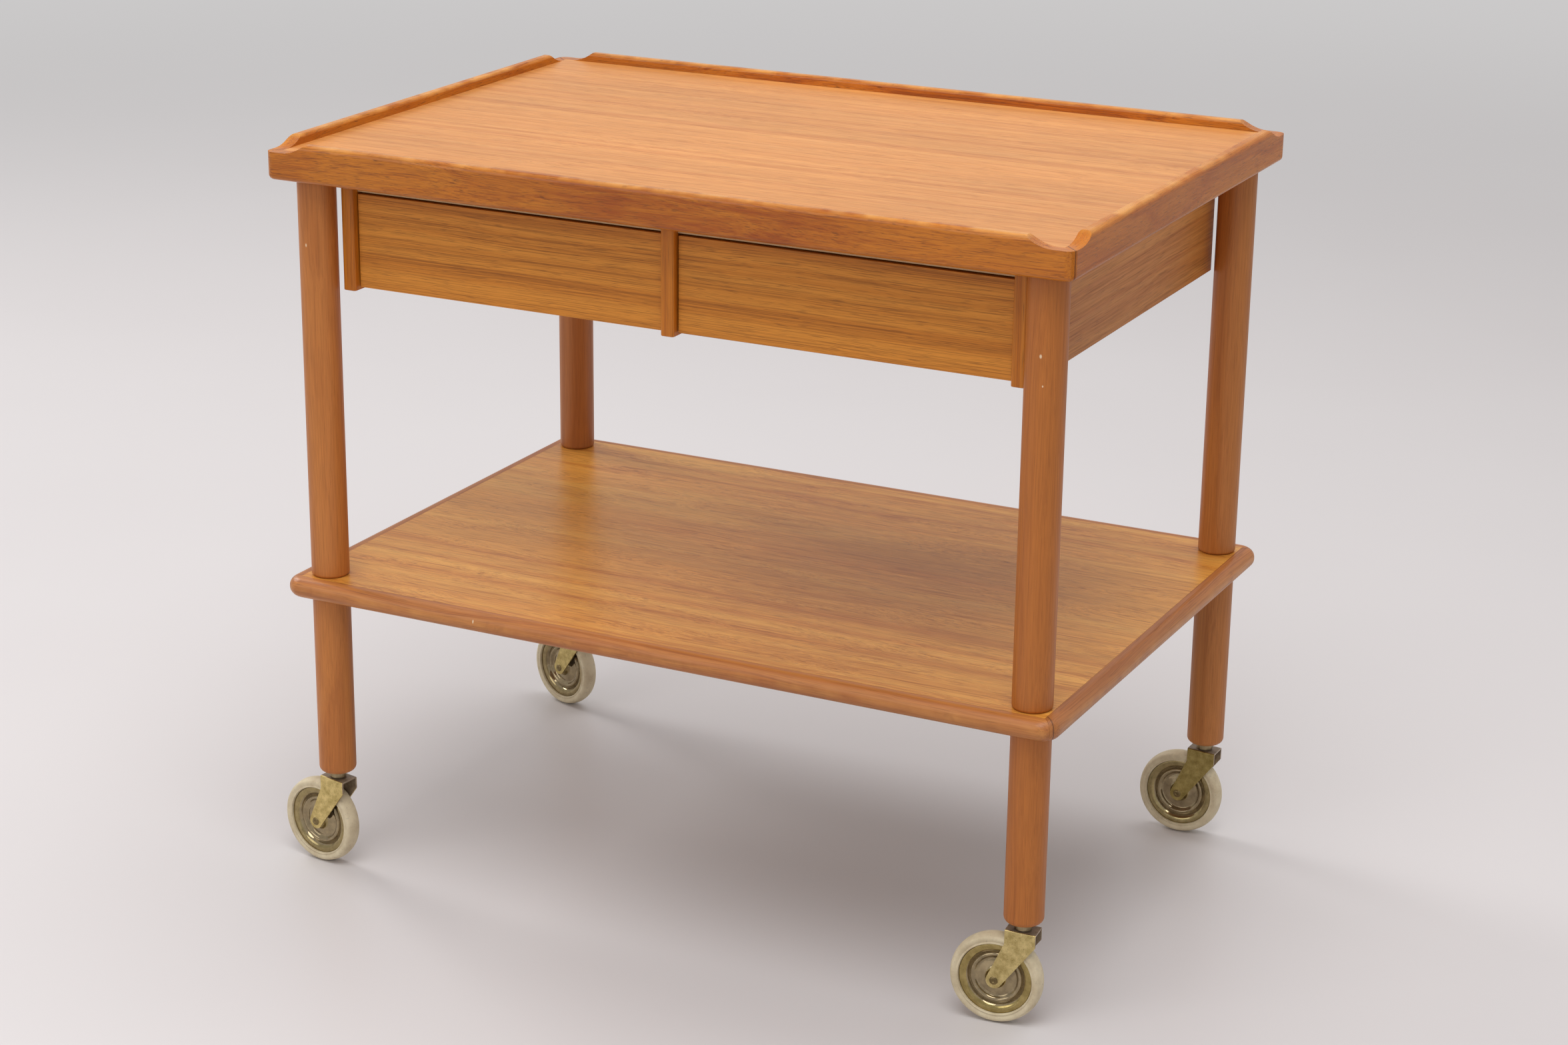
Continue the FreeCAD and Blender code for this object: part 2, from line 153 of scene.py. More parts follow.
def oiled_teak(name, grain, pale, mid, dark, pith, ring=0.009, sway=0.02, gloss=0.38, lines=0.5, run=0.14,
               gleam=0.5, pores=0.4, vessel=0.022, fine=1, heart=1, flame=None, worn_and_highlit=None, joint=None,
               under=None, nicks=()):
    """Teak, planed and oiled. Growth rings round the pith make slow bands of honey and brown, late wood draws
    long thin lines, open vessels make short dark dashes, and the oil leaves a satin skin, duller in the
    lines. The pith's place across the grain, a ring's width, the trunk's sway and the length of a line and of
    a vessel are in metres. Gloss is the roughness, and gleam the strength, of the oil's shine. Lines, pores
    and heart say how much of each shows, and fine thins the lines. What happened to the wood later, from
    flame to nicks, holds what the functions above are given; the pale rub on an arris is in part a painted
    highlight, and the darkened underside is painted shade."""
    made = bpy.data.materials.new(name)
    tree = emptied(made)
    place = add(tree, "TexCoord").outputs["Object"]
    turn = {"X": (0, 0, 0), "Y": (0, 0, -math.pi / 2), "Z": (0, math.pi / 2, 0)}[grain]
    log = add(tree, "Mapping", {"Vector": place, "Rotation": turn}).outputs[0]
    # The trunk bends slowly, over a forearm's length and two fingers' width, and redder, darker heartwood
    # comes and goes in patches a foot long and three fingers wide
    slow = []
    for length, width in ((0.32, 0.05), (0.3, 0.055)):
        stretch = add(tree, "Mapping", {"Vector": log,
                                        "Scale": (1 / length, 1 / width, 1 / width)}).outputs[0]
        slow.append(add(tree, "TexNoise", {"Vector": stretch, "Scale": 1, "Detail": 2}).outputs[0])
    bend, patch = slow
    flow = add(tree, "VectorMath", {0: bend, 1: (0, sway, sway), 2: log}, operation="MULTIPLY_ADD").outputs[0]
    across = add(tree, "VectorMath", {0: flow, 1: (0, 1, 1)}, operation="MULTIPLY").outputs[0]
    depth = add(tree, "VectorMath", {0: across, 1: (0, *pith)}, operation="DISTANCE").outputs["Value"]
    year = add(tree, "Math", {0: depth, 1: ring}, operation="DIVIDE").outputs[0]
    rings = add(tree, "TexNoise", {"W": year, "Scale": 1, "Detail": 3, "Roughness": 0.55},
                noise_dimensions="1D").outputs[0]
    # What runs with the grain, by length, width, detail and roughness: late wood in lines 1.4 mm wide, or
    # finer, hairlines half as wide between them, sparse flecks of resin, fibres, and vessels. A vessel is
    # 0.3 mm wide and is drawn 0.6 mm wide, so that it shows in the picture
    streaks = []
    for length, width, detail, roughness in ((run, 0.0014 * fine, 3, 0.65), (run, 0.0007 * fine, 1, 0.5),
                                             (0.035, 0.002, 2, 0.5), (0.03, 0.001, 2, 0.5),
                                             (vessel, 0.0006, 1, 0.5)):
        stretch = add(tree, "Mapping", {"Vector": flow,
                                        "Scale": (1 / length, 1 / width, 1 / width)}).outputs[0]
        streaks.append(add(tree, "TexNoise", {"Vector": stretch, "Scale": 1, "Detail": detail,
                                              "Roughness": roughness}).outputs[0])
    late, hairs, resin, fibres, tubes = streaks
    dashes = add(tree, "MapRange", {"Value": tubes, "From Min": 0.6, "From Max": 0.72}).outputs[0]
    early = add(tree, "MapRange", {"Value": rings, "From Min": 0.3, "From Max": 0.7}).outputs[0]
    tone = add(tree, "Mix", {0: early, 6: linear(pale), 7: linear(mid)}, data_type="RGBA").outputs[2]
    late_in_ring = add(tree, "Math", {0: rings, 1: 0.25, 2: late}, operation="MULTIPLY_ADD").outputs[0]
    drawn = 0
    for streak, start, full, share in ((late_in_ring, 0.62, 0.8, 1), (hairs, 0.57, 0.68, 0.7),
                                       (resin, 0.62, 0.76, 0.5)):
        ink = add(tree, "MapRange", {"Value": streak, "From Min": start, "From Max": full,
                                     "To Max": lines * share}).outputs[0]
        drawn = add(tree, "Math", {0: drawn, 1: ink}, operation="MAXIMUM").outputs[0]
    tone = add(tree, "Mix", {0: drawn, 6: tone, 7: linear(dark)}, data_type="RGBA").outputs[2]
    for shade, lightest, darkest in ((patch, 1 + 0.07 * heart, 1 - 0.1 * heart), (fibres, 1.06, 0.92)):
        level = add(tree, "MapRange", {"Value": shade, "From Min": 0.3, "From Max": 0.7, "To Min": lightest,
                                       "To Max": darkest}).outputs[0]
        tone = add(tree, "HueSaturation", {"Value": level, "Color": tone}).outputs[0]
    if flame:
        tone = flamed(tree, tone, log, flow, *flame)
    soak = add(tree, "Math", {0: dashes, 1: pores}, operation="MULTIPLY").outputs[0]
    tone = add(tree, "Mix", {0: soak, 6: tone, 7: linear("5a3010")}, data_type="RGBA").outputs[2]
    if worn_and_highlit:
        tone = rubbed(tree, tone, place, *worn_and_highlit)
    if joint:
        tone = glued(tree, tone, place, *joint)
    if under:
        tone = darkened_underside(tree, tone, place, under)
    for nick in nicks:
        tone = nicked(tree, tone, place, *nick)
    rough = add(tree, "MapRange", {"Value": late, "From Min": 0.3, "From Max": 0.7, "To Min": gloss - 0.04,
                                   "To Max": gloss + 0.08}).outputs[0]
    grooves = add(tree, "Math", {0: dashes, 1: -0.6, 2: fibres}, operation="MULTIPLY_ADD").outputs[0]
    skin = add(tree, "Bump", {"Height": grooves, "Strength": 0.2, "Distance": 0.0002}).outputs[0]
    wood = add(tree, "BsdfPrincipled", {"Base Color": tone, "Roughness": rough, "Normal": skin, "IOR": 1.5,
                                        "Specular IOR Level": gleam})
    add(tree, "OutputMaterial", {"Surface": wood.outputs[0]})
    return made


shelf_low, shelf_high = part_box("shelf_panel")
# Below this depth the shelf's underside is darkened, as painted shade for the floor beneath
shaded_underside_depth = 0.001
# The flame's place along the grain, its reach and its strength
shelf_flame = (0.06, 0.3, 0.25)
shelf_teak = oiled_teak("oiled teak, shelf veneer", "X", "e8a94f", "dc933c", "935020", pith=(0.06, 0.03),
                        ring=0.012, sway=0.045, gloss=0.3, lines=0.62, gleam=0.4, pores=0.5,
                        flame=shelf_flame, under=shelf_low.z + shaded_underside_depth)
clad("shelf_panel", shelf_teak)


# Shelf lippings: four strips of solid teak, mitred and glued round the board, then run over with a
# round cutter, so that the shelf's edge is a half round and its corners are turned in plan.

def eased(node, arris, crisp=32):
    """A copy of a solid, its edges sharper than an angle in degrees taken off, as glasspaper leaves them."""
    weld, flat = 0.000002, math.radians(0.4)
    shape = bmesh.new()
    shape.from_mesh(frame["nodes"][node].data)
    bmesh.ops.remove_doubles(shape, verts=shape.verts, dist=weld)
    bmesh.ops.dissolve_limit(shape, angle_limit=flat, verts=shape.verts, edges=shape.edges)
    edges = [e for e in shape.edges if len(e.link_faces) == 2 and e.calc_face_angle() > math.radians(crisp)]
    bmesh.ops.bevel(shape, geom=edges, offset=arris, offset_type="OFFSET", segments=2, profile=0.5,
                    affect="EDGES", clamp_overlap=True, material=-1)
    return shape


def fit(shape, name, finish, body, node, crease=35):
    """Makes the shape a piece of the trolley, in place of the solid that it stands for."""
    bmesh.ops.recalc_face_normals(shape, faces=shape.faces)
    mesh = bpy.data.meshes.new(name)
    shape.to_mesh(mesh)
    shape.free()
    for material in finish if isinstance(finish, tuple) else (finish,):
        mesh.materials.append(material)
    mesh.shade_smooth()
    mesh.set_sharp_from_angle(angle=math.radians(crease))
    piece = bpy.data.objects.new(name, mesh)
    bpy.context.scene.collection.objects.link(piece)
    piece.modifiers.new("flat faces stay flat", "WEIGHTED_NORMAL").keep_sharp = True
    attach(piece, body)
    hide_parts(node)


# The level of the wear and its painted highlight, its reach and how much of it shows
nose = (shelf_low.z + shelf_high.z) / 2
nose_wear_and_highlight = (nose, 0.006, 0.4)
# A nick's place, half its width and half its height
front_nick = ((-0.1474, -0.238, 0.2635), 0.0009, 0.0027)
# The mitres' middle along the trolley, and half the length and depth of the rectangle that they corner
outer_low, outer_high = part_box("shelf_lipping_left")[0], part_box("shelf_lipping_right")[1]
outer_size = outer_high - outer_low
mitres = ((outer_low.x + outer_high.x) / 2, outer_size.x / 2, outer_size.y / 2)
for side, grain in (("front", "X"), ("rear", "X"), ("left", "Y"), ("right", "Y")):
    lipping_teak = oiled_teak("oiled teak, shelf lipping " + side, grain, "c07c3e", "ae6730", "844520",
                              pith=(0.35, 0.31), gleam=0.5, worn_and_highlit=nose_wear_and_highlight, joint=mitres,
                              nicks=[front_nick] if side == "front" else ())
    node = "shelf_lipping_" + side
    fit(eased(node, arris=0.0003, crisp=45), "lipping_" + side, lipping_teak, "frame", node)


# Legs: four round posts in two lengths, turned from straight-grained teak, with the shelf between them.
# A beech dowel through the shelf joins each pair; the foot of the lower length has a turned arris.

corners = ("front_left", "front_right", "rear_right", "rear_left")
# Each leg's tone is in part its own and in part painted light and shade: the differences between corners
# follow how bright each leg stands, the front right and rear left darker
leg_tones_with_painted_shade = {"front_left": ("c17939", "b1692e", "88481c"), "front_right": ("bb712f", "ab6225", "834316"),
             "rear_right": ("be7a3b", "ae6a2f", "85491e"), "rear_left": ("b4723a", "a4622e", "7c431d")}
leg_nicks = [((0.3365, -0.2244, 0.5503), 0.0012, 0.0019), ((0.3388, -0.224, 0.5278), 0.0007, 0.001),
             ((-0.3078, -0.2244, 0.557), 0.0009, 0.0018)]
foot_arrises = {"upper": 0.0025, "lower": 0.005}
head_arris = 0.0004
on_rim = 0.000001
for corner in corners:
    leg_teak = oiled_teak("oiled teak, turned leg " + corner, "Z", *leg_tones_with_painted_shade[corner], pith=(0.9, 0.7),
                          ring=0.012, sway=0.022, gloss=0.42, lines=0.32, run=0.08, gleam=0.4, pores=0.15,
                          heart=0.3, nicks=leg_nicks)
    for length, foot_arris in foot_arrises.items():
        node = "%s_leg_%s" % (length, corner)
        low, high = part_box(node)
        radius = (high.x - low.x) / 2
        post = bmesh.new()
        bmesh.ops.create_cone(post, cap_ends=True, segments=96, radius1=radius, radius2=radius,
                              depth=high.z - low.z, matrix=Matrix.Translation((low + high) / 2))
        for level, arris, steps in ((low.z, foot_arris, 6), (high.z, head_arris, 2)):
            rim = [e for e in post.edges if all(abs(v.co.z - level) < on_rim for v in e.verts)]
            bmesh.ops.bevel(post, geom=rim, offset=arris, offset_type="OFFSET", segments=steps, profile=0.5,
                            affect="EDGES", material=-1)
        fit(post, "post_%s_%s" % (length, corner), leg_teak, "frame", node)


# Dowels: plain beech pins, planed and left bare, pale with the short brown flecks that mark beech.
# Each is glued through the shelf into both lengths of a leg, out of sight.

def planed_beech():
    """Beech as the plane leaves it: even and matt, in straw bands 9 mm wide, with flecks of the rays."""
    made = bpy.data.materials.new("beech, planed")
    tree = emptied(made)
    place = add(tree, "TexCoord").outputs["Object"]
    # A ray is 4 mm long and 0.6 mm wide
    rays = add(tree, "Mapping", {"Vector": place, "Scale": (1 / 0.0006, 1 / 0.004, 1 / 0.0006)}).outputs[0]
    fleck = add(tree, "TexNoise", {"Vector": rays, "Scale": 1, "Detail": 2}).outputs[0]
    fleck = add(tree, "MapRange", {"Value": fleck, "From Min": 0.55, "From Max": 0.75,
                                   "To Max": 0.6}).outputs[0]
    bands = add(tree, "Mapping", {"Vector": place, "Scale": (1 / 0.009, 1 / 0.4, 1 / 0.009)}).outputs[0]
    band = add(tree, "TexNoise", {"Vector": bands, "Scale": 1, "Detail": 3}).outputs[0]
    tone = add(tree, "Mix", {0: band, 6: linear("d3b184"), 7: linear("b98f60")}, data_type="RGBA").outputs[2]
    tone = add(tree, "Mix", {0: fleck, 6: tone, 7: linear("8f6238")}, data_type="RGBA").outputs[2]
    skin = add(tree, "Bump", {"Height": fleck, "Strength": 0.2, "Distance": 0.0001}).outputs[0]
    wood = add(tree, "BsdfPrincipled", {"Base Color": tone, "Roughness": 0.55, "Normal": skin})
    add(tree, "OutputMaterial", {"Surface": wood.outputs[0]})
    return made


beech = planed_beech()
clad("leg_dowels", beech)


# Tray board: the same veneered board as the shelf, from a straighter part of the log, and paler, because
# it has faced the light for years. It sits inside the rails, a finger's breadth below their crest.

tray_teak = oiled_teak("oiled teak, tray veneer", "X", "da9650", "d08844", "9e5824", pith=(0.62, 0.1),
                       ring=0.011, sway=0.026, lines=0.5)
clad("top_panel", tray_teak)


# Tray rails: four lengths of solid teak, mitred at the corners, rounded over along the crest and the foot.
# Near each corner the lip is scooped down to the board, so that the tray can be wiped out.

# The crest's wear, in part a painted highlight: its level, its reach and how much of it shows
crest_wear_and_highlight = (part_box("top_rail_front")[1].z, 0.003, 0.8)
front_flame = (0.05, 0.22, 0.7)
# By side: the grain, the place of the pith, how much the lines show, and the gleam
rail_looks = {"front": ("X", (0.215, 0.655), 0.7, 0.4), "rear": ("X", (-0.16, 0.6), 0.7, 0.4),
              "left": ("Y", (-0.31, 0.66), 0.4, 0.2), "right": ("Y", (0.33, 0.64), 0.4, 0.2)}
for side, (grain, pith, lines, gleam) in rail_looks.items():
    rail_teak = oiled_teak("oiled teak, tray rail " + side, grain, "c87a22", "b66316", "7c360a", pith=pith,
                           ring=0.005, sway=0.03, gloss=0.27, lines=lines, run=0.1, gleam=gleam, pores=0.6,
                           vessel=0.009, fine=0.7, flame=front_flame if side == "front" else None,
                           worn_and_highlit=crest_wear_and_highlight, joint=mitres)
    node = "top_rail_" + side
    fit(eased(node, arris=0.0004), "rail_" + side, rail_teak, "frame", node)


# Drawer case: two veneered sides and a divider, faced at the front with upright strips of solid teak whose
# front arrises are rounded. A teak-faced plywood back and pale cross rails above the drawers close it.

def board(node, arris):
    """A plain board that fills the box of a solid, its edges just broken."""
    low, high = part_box(node)
    place = Matrix.Translation((low + high) / 2) @ Matrix.Diagonal((*(high - low), 1))
    shape = bmesh.new()
    bmesh.ops.create_cube(shape, size=1, matrix=place)
    bmesh.ops.bevel(shape, geom=shape.edges[:], offset=arris, offset_type="OFFSET", segments=2, profile=0.5,
                    affect="EDGES", material=-1)
    return shape


side_teak = oiled_teak("oiled teak, case side veneer", "Y", "d18d48", "be7433", "8a4b1e", pith=(-0.2, 0.3),
                       sway=0.012, gloss=0.4, gleam=0.25)
strip_teak = oiled_teak("oiled teak, upright strip", "Z", "d08025", "bd6c19", "824210", pith=(0.1, 0.4),
                        ring=0.006, sway=0.008, gleam=0.35)
back_teak = oiled_teak("oiled teak, veneer on the plywood back", "X", "c88846", "b67032", "8a4b1e",
                       pith=(0.1, 0.9), ring=0.012, sway=0.02, gloss=0.42, run=0.3, gleam=0.3)
for side in ("left", "right"):
    node = "case_side_" + side
    fit(board(node, arris=0.0006), "side_" + side, side_teak, "frame", node)
for upright in ("left", "centre", "right"):
    node = "case_strip_" + upright
    fit(eased(node, arris=0.0006), "strip_" + upright, strip_teak, "frame", node)
fit(board("case_divider", arris=0.0005), "divider", beech, "frame", "case_divider")
fit(board("case_back", arris=0.0005), "back", back_teak, "frame", "case_back")
fit(eased("case_cross_rails", arris=0.0005), "cross_rails", beech, "frame", "case_cross_rails")
fit(eased("drawer_runners", arris=0.0006), "runners", beech, "frame", "drawer_runners")


# Drawers: inset boxes with no pulls, drawn out by the lower edge of the front. The front is veneered teak,
# the sides and back are beech with a groove for the runner, and the bottom is thin plywood.

drawer_arris = 0.0007
for side in ("left", "right"):
    drawer = "drawer_" + side
    front_teak = oiled_teak("oiled teak, drawer front " + side, "X", "da8f35", "c77a26", "764012",
                            pith=(-0.19, 1.1), ring=0.013, sway=0.008, gloss=0.45, lines=0.65, run=0.3,
                            gleam=0.3, pores=0.45, vessel=0.015, fine=0.65, heart=0.4)
    node = drawer + "_front"
    fit(board(node, drawer_arris), "drawn_front_" + side, front_teak, drawer, node)
    for wall, slot in (("side_left", "beech"), ("side_right", "beech"), ("back", "beech"),
                       ("bottom", "plywood")):
        node = "%s_%s" % (drawer, wall)
        fit(eased(node, drawer_arris), "box_%s_%s" % (side, wall), beech, drawer, node)


# Caster sockets and stems: a steel socket is driven into the foot of each leg, and the stem of a caster turns
# in it. Both are plated steel, gone yellow, and all that shows of them is the collar of the stem.

def metal(name, bright, dull, dark, gloss, pitted, bare=1):
    """Plated sheet: bright where it is rubbed, brown and dull where the plating has aged, with fine pits."""
    made = bpy.data.materials.new(name)
    tree = emptied(made)
    place = add(tree, "TexCoord").outputs["Object"]
    # Blooms are about 6 mm across, pits 1 mm, rubs 0.5 mm wide and 8 mm long
    blooms = add(tree, "TexNoise", {"Vector": place, "Scale": 1 / 0.006, "Detail": 4,
                                    "Roughness": 0.65}).outputs[0]
    bloom = add(tree, "MapRange", {"Value": blooms, "From Min": 0.36, "From Max": 0.68}).outputs[0]
    tone = add(tree, "Mix", {0: bloom, 6: linear(bright), 7: linear(dull)}, data_type="RGBA").outputs[2]
    pits = add(tree, "TexNoise", {"Vector": place, "Scale": 1 / 0.001, "Detail": 3}).outputs[0]
    pit = add(tree, "MapRange", {"Value": pits, "From Min": 0.6, "From Max": 0.72,
                                 "To Max": pitted}).outputs[0]
    tone = add(tree, "Mix", {0: pit, 6: tone, 7: linear(dark)}, data_type="RGBA").outputs[2]
    rubs = add(tree, "Mapping", {"Vector": place, "Rotation": (0, 0.7, 0),
                                 "Scale": (1 / 0.0005, 1 / 0.0005, 1 / 0.008)}).outputs[0]
    rub = add(tree, "TexNoise", {"Vector": rubs, "Scale": 1, "Detail": 2}).outputs[0]
    rough = add(tree, "MapRange", {"Value": rub, "From Min": 0.35, "From Max": 0.7, "To Min": gloss,
                                   "To Max": gloss * 1.6}).outputs[0]
    skin = add(tree, "Bump", {"Height": pit, "Strength": 0.15, "Distance": 0.0002}).outputs[0]
    sheet = add(tree, "BsdfPrincipled", {"Base Color": tone, "Roughness": rough, "Normal": skin,
                                         "Metallic": bare})
    add(tree, "OutputMaterial", {"Surface": sheet.outputs[0]})
    return made


steel = metal("plated steel, yellowed", "a8987a", "877859", "4e4432", gloss=0.3, pitted=0.4)
clad("caster_sockets", steel)
for corner in corners:
    clad("caster_%s_stem" % corner, steel)


# Tyres: rings of cream rubber, moulded with a small lip that grips the flange of the wheel, and squeezed on.
# Age has yellowed them, and street dirt is trodden into them in grey specks.

# The axle stands behind the stem by the trail
trail, axle_height = 0.02, 0.038


def place_of(corner):
    """Where a caster stands and how it is turned at rest; its own frame has the stem over the origin."""
    swivel = next(j for j in frame["joints"] if j["name"] == "caster_%s_swivel" % corner)
    roll = next(j for j in frame["joints"] if j["name"] == "wheel_%s_roll" % corner)
    turn = math.atan2(-roll["axis"][0], roll["axis"][1])
    return Matrix.Translation((swivel["pos_m"][0], swivel["pos_m"][1], 0)) @ Matrix.Rotation(turn, 4, "Z")


def turned(half, corner, steps=80):
    """A ring or disc spun about a caster's axle. Its half section, (radius, offset) in millimetres, runs from
    the bore outwards on one face, and its mirror closes it on the other."""
    weld = 0.000001
    section = half + [(radius, -offset) for radius, offset in reversed(half)]
    shape = bmesh.new()
    points = [shape.verts.new((radius / 1000, offset / 1000, 0)) for radius, offset in section]
    edges = [shape.edges.new(pair) for pair in zip(points, points[1:] + points[:1])]
    bmesh.ops.spin(shape, geom=points + edges, cent=(0, 0, 0), axis=(0, 1, 0), dvec=(0, 0, 0),
                   angle=2 * math.pi, steps=steps, use_merge=True, use_duplicate=False)
    bmesh.ops.remove_doubles(shape, verts=shape.verts, dist=weld)
    bmesh.ops.translate(shape, verts=shape.verts, vec=(-trail, 0, axle_height))
    bmesh.ops.transform(shape, matrix=place_of(corner), verts=shape.verts)
    return shape


def aged_rubber():
    """Moulded rubber, matt and finely cracked, with stains some 14 mm across."""
    made = bpy.data.materials.new("aged cream rubber")
    tree = emptied(made)
    place = add(tree, "TexCoord").outputs["Object"]
    stains = add(tree, "TexNoise", {"Vector": place, "Scale": 1 / 0.01429, "Detail": 5,
                                    "Roughness": 0.65}).outputs[0]
    stain = add(tree, "MapRange", {"Value": stains, "From Min": 0.4, "From Max": 0.72}).outputs[0]
    tone = add(tree, "Mix", {0: stain, 6: linear("d7c9a9"), 7: linear("beac8b")}, data_type="RGBA").outputs[2]
    # Specks of dirt lie about 3 mm apart, and the cracks of age about 1 mm
    specks = add(tree, "TexNoise", {"Vector": place, "Scale": 1 / 0.003, "Detail": 4,
                                    "Roughness": 0.7}).outputs[0]
    speck = add(tree, "MapRange", {"Value": specks, "From Min": 0.6, "From Max": 0.72,
                                   "To Max": 0.5}).outputs[0]
    tone = add(tree, "Mix", {0: speck, 6: tone, 7: linear("8d8270")}, data_type="RGBA").outputs[2]
    cracks = add(tree, "TexNoise", {"Vector": place, "Scale": 1 / 0.00111, "Detail": 2}).outputs[0]
    skin = add(tree, "Bump", {"Height": cracks, "Strength": 0.2, "Distance": 0.0002}).outputs[0]
    rubber = add(tree, "BsdfPrincipled", {"Base Color": tone, "Roughness": 0.62, "Normal": skin})
    add(tree, "OutputMaterial", {"Surface": rubber.outputs[0]})
    return made


cream_rubber = aged_rubber()
# From the flange outwards: the lip, a groove beside it, the side wall, the shoulder and the tread
tyre_half = [(30.0, 5.5), (30.2, 6.7), (30.6, 7.25), (31.1, 7.3), (31.5, 6.9), (31.9, 6.75), (32.6, 7.05),
             (33.8, 7.45), (35.0, 7.4), (35.8, 7.0), (36.5, 6.3), (37.0, 5.3), (37.5, 3.6), (37.9, 1.8),
             (38.0, 0.6)]
for corner in corners:
    fit(turned(tyre_half, corner), "rubber_" + corner, cream_rubber, "wheel_" + corner,
        "caster_%s_tyre" % corner, crease=60)


# Wheel discs: pressed from sheet in rings round a hub, with a flange that carries the tyre. They are plated
# with brass; the flange has dulled, while the dish inside it is lacquered and still mirrors the room.

flange_tones = {"front_left": ("a7976c", "8b7b57"), "front_right": ("b3a06a", "948250"),
                "rear_right": ("b1a074", "92835a"), "rear_left": ("a08f68", "857555")}
brass_dish = metal("lacquered brass in the wheel dish", "a89776", "8a7b60", "5a4a36", gloss=0.07, pitted=0.15,
                   bare=0.78)
dish_inner, dish_outer = 0.0095, 0.0246
# From the bore outwards: the hub, the web, a groove, the bead, a narrow groove, and the flange
disc_half = [(2.6, 7.7), (5.0, 7.7), (6.2, 7.2), (6.9, 6.2), (7.5, 4.4), (8.6, 3.0), (10.4, 2.2), (13.2, 1.8),
             (14.8, 1.3), (15.8, 1.0), (16.6, 1.2), (17.4, 1.9), (18.2, 2.9), (19.0, 3.5), (19.8, 3.7),
             (20.6, 3.4), (21.2, 2.7), (21.7, 1.9), (22.1, 1.5), (22.5, 1.7), (23.0, 2.5), (23.6, 3.3),
             (24.2, 3.95), (24.9, 4.5), (25.7, 4.95), (26.6, 5.25), (27.6, 5.4), (29.4, 5.4), (30.0, 5.0)]
for corner in corners:
    brass_flange = metal("brass plate on the wheel flange, " + corner, *flange_tones[corner], "6b5a38",
                         gloss=0.13, pitted=0.4)
    disc = turned(disc_half, corner)
    hub = place_of(corner) @ Vector((-trail, 0, axle_height))
    for face in disc.faces:
        radius = (face.calc_center_median() - hub).length
        face.material_index = 1 if dish_inner < radius < dish_outer else 0
    fit(disc, "pressing_" + corner, (brass_flange, brass_dish), "wheel_" + corner,
        "caster_%s_disc" % corner, crease=60)


# Axles: plain steel pins through the hub and both cheeks of the fork, browned with age.
# Each end is peened over a cheek, which leaves a low round head with a dimple.

brown_steel = metal("plated steel, browned", "8f7d56", "6a5a3c", "3a3020", gloss=0.28, pitted=0.4)
# From the middle outwards: the dimple, the head, its underside on the cheek, and the pin
rivet_half = [(0.2, 9.9), (1.0, 9.9), (1.4, 10.25), (2.4, 10.25), (3.2, 9.9), (3.5, 9.42), (2.5, 9.42),
              (2.5, 8.0)]
for corner in corners:
    fit(turned(rivet_half, corner, steps=40), "rivet_" + corner, brown_steel, "caster_" + corner,
        "caster_%s_axle" % corner)


# Forks: each is a strip of sheet steel, blanked with two cheeks, bent down over the wheel and brass-plated.
# The stem is riveted into its top. On top, where nothing rubs it, the plating has gone brown; inside, under
# # the top and on the leading ends the brown is painted shade.

fork_half_length = 0.0125
fork_half_width = 0.0094
fork_top = 0.0835
fork_sag = 0.0013
fork_shoulder = 0.0715
fork_eye = 0.0065
fork_eye_steps = 14
fork_bend = 0.0013
fork_sheet = 0.0015


def touch(point_x, side):
    """The angle at which a cheek's straight edge, from its shoulder, meets the round eye about the axle."""
    off_x, off_z = point_x + trail, fork_shoulder - axle_height
    return math.atan2(off_z, off_x) + side * math.acos(fork_eye / math.hypot(off_x, off_z))


def pressed_fork(corner):
    """The bent strip. Years of load have pulled its leading end down a little."""
    first, last = touch(fork_half_length, -1), touch(-fork_half_length, 1) - 2 * math.pi
    outline = [(fork_half_length, fork_top - fork_sag), (fork_half_length, fork_shoulder)]
    for step in range(fork_eye_steps + 1):
        heading = first + (last - first) * step / fork_eye_steps
        outline.append((fork_eye * math.cos(heading) - trail, fork_eye * math.sin(heading) + axle_height))
    outline += [(-fork_half_length, fork_shoulder), (-fork_half_length, fork_top)]
    shape = bmesh.new()
    near = [shape.verts.new((x, -fork_half_width, z)) for x, z in outline]
    far = [shape.verts.new((x, fork_half_width, z)) for x, z in outline]
    top = (near[0], near[-1], far[-1], far[0])
    for rim in (near, far, top):
        shape.faces.new(rim)
    # All faces look outwards before the bends are rounded, or else one bend comes out twisted
    bmesh.ops.recalc_face_normals(shape, faces=shape.faces)
    shape.normal_update()
    if sum(face.normal.z for face in shape.faces) < 0:
        bmesh.ops.reverse_faces(shape, faces=shape.faces)
    bends = [shape.edges.get((cheek[0], cheek[-1])) for cheek in (near, far)]
    bmesh.ops.bevel(shape, geom=bends, offset=fork_bend, offset_type="OFFSET", segments=5, profile=0.5,
                    affect="EDGES", material=-1)
    shape.normal_update()
    bmesh.ops.solidify(shape, geom=shape.faces[:], thickness=fork_sheet)
    # Faces inside, on and under the top and on the leading ends take the brown: aged plating on top, painted
    # shade where light hardly reaches
    inward, straight = -0.004, 0.9
    for face in shape.faces:
        middle = face.calc_center_median()
        inside = face.normal.y * middle.y < inward
        shaded = abs(face.normal.z) > straight or face.normal.x > straight
        face.material_index = 1 if inside or (shaded and middle.z > fork_shoulder) else 0
    bmesh.ops.transform(shape, matrix=place_of(corner), verts=shape.verts)
    return shape


